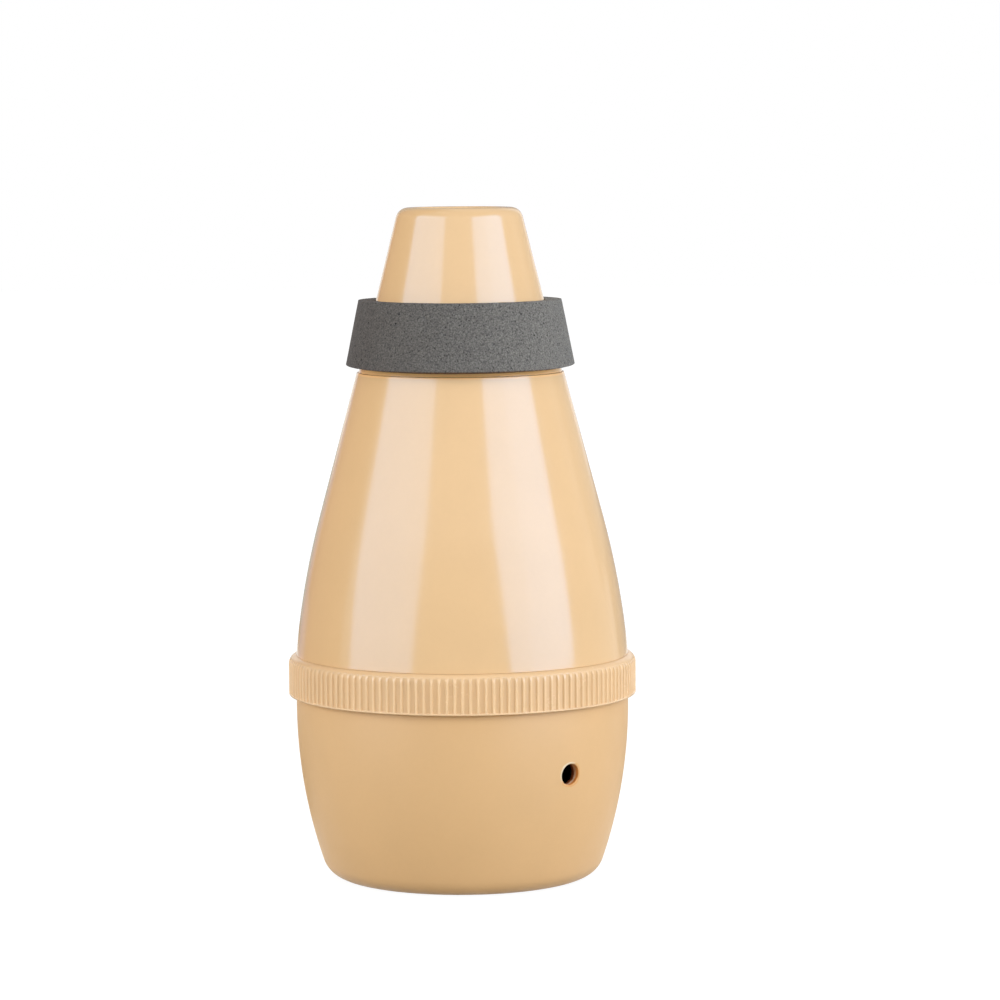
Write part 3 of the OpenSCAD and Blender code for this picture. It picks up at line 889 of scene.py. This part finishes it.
def foam_look(name, dark, light, grain_mm, pore_mm, depth_mm, edge=None):
    """Foam: a finely speckled grey with scattered small pores and a few deep ones, whose shade is painted as
    dark spots. edge is (height, depth) in millimetres: the piece's lower edge, which gets a painted shade as
    a darker, browner border, and its -X side then gets a painted shade, darker and browner."""
    look = Look(name)
    fine = look.noise(grain_mm, detail=3, rough=0.7)
    middle = shade(dark, 0.5 + 0.5 * light[0] / dark[0])
    tone = look.ramp(fine, [(0.34, linear(dark)), (0.5, linear(middle)), (0.68, linear(light))])
    # Painted shade: dark spots stand for the shade in small pores and a few deep ones.
    painted_pore_shade = look.ramp(look.cells(pore_mm), [(0.12, (0.42, 0.4, 0.39)), (0.27, (1, 1, 1))])
    painted_deep_pore_shade = look.ramp(look.cells(pore_mm * 3.5), [(0.055, (0.1, 0.09, 0.08)), (0.085, (1, 1, 1))])
    tone = look.times(look.times(tone, painted_pore_shade), painted_deep_pore_shade)
    if edge:
        low, depth = edge
        # Painted shade: darker and browner towards -X, and a darker, browner border along the lower edge.
        drift = look.sum(look.coordinate("X"), look.noise(7), 12 * MM)
        side = look.spread(drift, 0.0, 1.0, -16 * MM, 22 * MM)
        painted_side_shade = look.ramp(side, [(0.0, (0.55, 0.5, 0.465)), (0.5, (0.74, 0.72, 0.7)), (1.0, (1, 0.99, 0.96))])
        level = look.spread(look.coordinate("Z"), 0.0, 1.0, low * MM, (low + depth) * MM)
        border = look.ramp(level, [(0.45, (0.52, 0.24, 0.05)), (1.0, (1, 1, 1))])
        tone = look.times(look.times(tone, painted_side_shade), border)
    skin = look.bump(fine, depth_mm)
    look.set(Base_Color=tone, Roughness=look.spread(fine, 0.85, 0.97), Normal=skin, Specular_IOR_Level=0.25)
    return look.material


def rubber_look(name):
    """Matt black rubber with a dusty bloom."""
    look = Look(name)
    bloom = look.noise(3, detail=4, rough=0.65)
    tone = look.ramp(bloom, [(0.35, linear((30, 30, 31))), (0.75, linear((46, 45, 45)))])
    look.set(Base_Color=tone, Roughness=look.spread(bloom, 0.55, 0.8))
    look.set(Normal=look.bump(look.noise(0.3), 0.01))
    return look.material


def dress(piece, material, body, node):
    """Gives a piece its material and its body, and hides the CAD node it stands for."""
    piece.data.materials.append(material)
    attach(piece, body)
    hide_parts(node)
    return piece


# Painted glow: from the shoulder to the foam's lower edge, where the foam shades it, the gloss is painted
# lighter and warmer.
gloss = plastic("gloss_cream", (225, 188, 140), (0.12, 0.16), 0.5, 0.0006, 0.004,
                glow=(shoulder - 0.15, foam_low, (1.28, 1.18, 1.0)))
satin = plastic("satin_cream", (222, 182, 132), (0.42, 0.52), 0.22, 0.004, 0.01, shine=0.3)
# The ring's grooves get a painted shade, darker towards their floor.
ring_plastic = plastic("ring_cream", (237, 202, 158), (0.2, 0.28), 0.3, 0.0003, 0.0006, shine=0.4,
                       groove_shade=(groove_r, ring_r, (0.91, 0.885, 0.85)))
inner_plastic = plastic("inner_cream", (232, 202, 160), (0.35, 0.5), 0.4, 0.005, 0.01)
# Both foams get dark spots as painted shade for pores; the bell foam also gets painted shade along its lower
# edge and on its -X side.
bell_foam = foam_look("bell_foam", (82, 80, 78), (142, 141, 136), 0.3, 0.8, 0.02, edge=(foam_low, 0.5))
damping_foam = foam_look("damping_foam", (54, 54, 57), (96, 96, 100), 1.2, 2.4, 0.1)
rubber = rubber_look("black_rubber")

cup = dress(make_cup(), satin, "cup", "base_cup")
# The vent's bore is painted with highlight, warm light and shade.
cup.data.materials.append(bore_look("bored_cream", (223, 183, 133)))
dress(make_ring(), ring_plastic, "ring", "grip_ring")
dress(make_shell(), gloss, "cone", "cone_shell")
dress(make_nose(), gloss, "cone", "nose_cone")
dress(make_foam_ring(), bell_foam, "bell_foam", "foam_ring")
dress(make_shell_foam(), damping_foam, "cone", "cone_lining")
dress(make_cup_foam(), damping_foam, "cup", "cup_lining")
dress(make_floor_foam(), damping_foam, "cup", "floor_pad")

for node_name, material in (
    ("joint_gasket", rubber), ("tube_grommet", rubber), ("flange_collar", inner_plastic),
    ("throat_tube", inner_plastic), ("baffle_disc", inner_plastic),
):
    for material_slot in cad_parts[node_name].material_slots:
        material_slot.material = material


def make_world(sides, front, back, sky):
    """White where it is seen, and brighter than that high up in front, where sky lists (direction's height,
    radiance). What lights the object is a soft studio: front and back list (direction's height, radiance),
    and sides is the share of that light at the far left and from the right."""
    world = bpy.data.worlds.new("studio")
    world.use_nodes = True
    bpy.context.scene.world = world
    nodes = Nodes(world.node_tree)
    nodes.tree.nodes.clear()
    split = nodes.add("ShaderNodeSeparateXYZ")
    nodes.feed(split.inputs[0], nodes.add("ShaderNodeTexCoord").outputs["Generated"])
    across, away, up = split.outputs

    def climb(heights):
        """Radiance along the direction's height."""
        peak = max(level for height, level in heights)
        share = nodes.ramp(up, [(height, (level / peak,) * 3) for height, level in heights])
        return nodes.made("ShaderNodeMath", share, peak, operation="MULTIPLY")

    def blend(start, end, first, second):
        """A value that goes from one in front to another behind."""
        node = nodes.add("ShaderNodeMix")
        for index, value in ((0, nodes.spread(away, 0.0, 1.0, start, end)), (2, first), (3, second)):
            nodes.feed(node.inputs[index], value)
        return node.outputs[0]

    studio = blend(0.35, 0.85, climb(front), climb(back))
    share = nodes.spread(across, *sides, -0.8, -0.3)
    level = nodes.made("ShaderNodeMath", studio, share, operation="MULTIPLY")
    lit = nodes.made("ShaderNodeBackground", (0.8, 0.8, 0.8, 1), level)
    seen = nodes.made("ShaderNodeBackground", (1, 1, 1, 1), blend(-0.2, 0.3, climb(sky), 1.0))
    nodes.finish("ShaderNodeOutputWorld", nodes.made("ShaderNodeMixShader", nodes.seen_ray(), lit, seen))


def stage_look(piece):
    """The empty node tree of a new material on a piece of the stage."""
    material = bpy.data.materials.new(piece.name)
    material.use_nodes = True
    material.node_tree.nodes.clear()
    piece.data.materials.append(material)
    return Nodes(material.node_tree)


def make_floor(glow, catch, bounce):
    """Pale floor: near white with the object's shadow where it is seen, and a plain, warm bounce card for
    the light. From below it is clear, so that the object's underside shows."""
    half_side, drop = 3, 0.0001
    work = bmesh.new()
    bmesh.ops.create_grid(work, x_segments=8, y_segments=8, size=half_side)
    floor = placed("floor", work)
    floor.location.z = -drop
    nodes = stage_look(floor)
    white = nodes.made("ShaderNodeEmission", (1, 1, 1, 1), glow)
    shadow = nodes.made("ShaderNodeBsdfDiffuse", (catch, catch, catch, 1))
    warm = nodes.made("ShaderNodeBsdfDiffuse", (bounce * 1.04, bounce, bounce * 0.84, 1))
    seen = nodes.made("ShaderNodeAddShader", white, shadow)
    above = nodes.made("ShaderNodeMixShader", nodes.seen_ray(), warm, seen)
    under = nodes.add("ShaderNodeNewGeometry").outputs["Backfacing"]
    clear = nodes.made("ShaderNodeBsdfTransparent")
    nodes.finish("ShaderNodeOutputMaterial", nodes.made("ShaderNodeMixShader", under, above, clear))


def make_card(name, start, end, low, high, tone, near=0.45, far=0.45):
    """Curved card round the object, of one colour, that is only mirrored. start and end are azimuths in
    degrees, from the camera's side towards +X. near and far are the distances of its lower and upper edge,
    so a card can lie flat."""
    work = bmesh.new()
    rows = []
    for degrees in spaced(start, end, 5):
        a = math.radians(degrees)
        rows.append([work.verts.new((math.sin(a) * away, -math.cos(a) * away, z))
                     for away, z in ((near, low), (far, high))])
    for (low_here, high_here), (low_next, high_next) in zip(rows, rows[1:]):
        work.faces.new((low_here, low_next, high_next, high_here))
    card = placed(name, work)
    card.visible_camera = card.visible_diffuse = card.visible_transmission = card.visible_shadow = False
    nodes = stage_look(card)
    nodes.finish("ShaderNodeOutputMaterial", nodes.made("ShaderNodeEmission", (*tone, 1)))


def make_softbox(name, azimuth, distance, low, high, width, radiance, shift=0.0, lean=0.0, roll=0.0,
                 shiny=True, soft=True, colour=(1, 1, 1)):
    """Rectangular lamp that faces the axis. azimuth is measured from the camera's side towards +X, low and
    high are its lower and upper edge before lean tips its top towards the axis, and shift moves it towards
    +X. A lamp that isn't shiny isn't mirrored, and one that isn't soft is only mirrored."""
    lamp = bpy.data.lights.new(name, "AREA")
    lamp.shape = "RECTANGLE"
    lamp.size = width
    lamp.size_y = high - low
    lamp.energy = radiance * math.pi * lamp.size * lamp.size_y
    lamp.color = colour
    made = bpy.data.objects.new(name, lamp)
    a = math.radians(azimuth)
    out, side = Vector((math.sin(a), -math.cos(a), 0)), Vector((math.cos(a), math.sin(a), 0))
    made.location = out * distance + side * shift + Vector((0, 0, (low + high) / 2))
    turn = (-out).to_track_quat("-Z", "Y").to_matrix() @ Matrix.Rotation(math.radians(-lean), 3, "X")
    turn = turn @ Matrix.Rotation(math.radians(roll), 3, "Z")
    made.rotation_euler = turn.to_euler()
    made.visible_camera = False
    made.visible_glossy = shiny
    made.visible_diffuse = soft
    bpy.context.scene.collection.objects.link(made)


def make_camera():
    """Camera at the photograph's angle, with the part left of the middle."""
    down, roll = math.radians(5.214), math.radians(-0.37)
    lens = bpy.data.cameras.new("camera")
    lens.sensor_width = 36
    lens.lens = 145.71
    lens.shift_x = 0.0388
    lens.shift_y = 0.0001
    lens.clip_start = 0.05
    lens.clip_end = 20
    made = bpy.data.objects.new("camera", lens)
    made.location = (0, -0.8, 0.1479)
    aim = Matrix.Rotation(math.pi / 2 - down, 3, "X") @ Matrix.Rotation(roll, 3, "Z")
    made.rotation_euler = aim.to_euler()
    bpy.context.scene.collection.objects.link(made)
    bpy.context.scene.camera = made


make_world(sides=(0.1, 1.0),
           front=[(0, 0.45), (0.05, 0.5), (0.12, 0.6), (0.3, 1.02), (0.5, 2.05), (0.72, 1.22), (0.92, 0.36)],
           back=[(0, 0.8), (0.12, 1.0), (0.3, 1.15), (0.5, 1.3), (0.9, 0.9)],
           sky=[(0, 1.0), (0.12, 1.0), (0.3, 1.2), (0.5, 2.1), (0.72, 1.2), (0.92, 1.0)])

# Cards: azimuths from and to in degrees, lower and upper edge in metres, colour
pale = (0.52, 0.42, 0.55)
closer = {"near": 0.44, "far": 0.44}
flat = {"low": 0.0005, "high": 0.0005, "near": 0.06, "far": 0.24}
make_card("card_left", -90, -155, 0, 1.2, (0.5, 0.25, 0.18))
make_card("card_edge_left", -155, -168, 0, 0.078, (0.32, 0.28, 0.24))
make_card("card_pale_left", -146, -155, 0.045, 0.12, pale, **closer)
make_card("card_pale_low", -139, -155, 0, 0.045, pale, **closer)
make_card("card_pale_edge", -155, -168, 0.012, 0.078, (0.36, 0.48, 0.54), **closer)
make_card("card_high_left", -153, -170, 0.2, 1.2, (0.35, 0.35, 0.35))
make_card("card_floor_left", -120, -178, tone=(0.12, 0.12, 0.12), **flat)
make_card("card_floor_right", 134, 178, tone=(0.2, 0.2, 0.2), **flat)
make_card("card_edge_right", 134, 168, 0, 0.078, (0.4, 0.4, 0.4))
make_card("card_right", 120, 152, 0.078, 0.7, (0.62, 0.62, 0.6))
make_card("card_back", 168, 192, 0.125, 0.6, (0.4, 0.4, 0.4))
make_floor(glow=0.93, catch=0.16, bounce=0.4)

# Lamps: azimuth in degrees, distance, lower and upper edge and width in metres, radiance
cool_left, cool_right = (0.25, 0.56, 1), (0.22, 0.54, 1)
make_softbox("fill_left", -70, 1.0, 0.1, 0.76, 1.04, 3.4, shiny=False)
make_softbox("fill_right", 57.5, 1.0, 0.02, 0.72, 1.04, 2.65, shiny=False, colour=(0.99, 1.03, 1.1))
make_softbox("fill_front", 0, 1.2, 0.02, 0.22, 1.2, 0.84, shiny=False)
make_softbox("fill_back", 180, 1.2, 0.1, 0.9, 0.8, 3.2, shiny=False)
make_softbox("stripe_left", -60, 1.02, -0.045, 0.875, 1.085, 4.2,
             shift=0.033, lean=30, soft=False, colour=cool_left)
make_softbox("stripe_right", 58, 1.017, -0.046, 0.874, 1.066, 5.6,
             shift=-0.0455, lean=25, roll=6.8, soft=False, colour=cool_right)
make_softbox("stripe_right_core", 58, 0.8, -0.02, 0.72, 0.46, 0.9,
             shift=0.1, roll=-2, soft=False, colour=cool_right)
make_camera()
bpy.context.scene.view_settings.view_transform = "Standard"
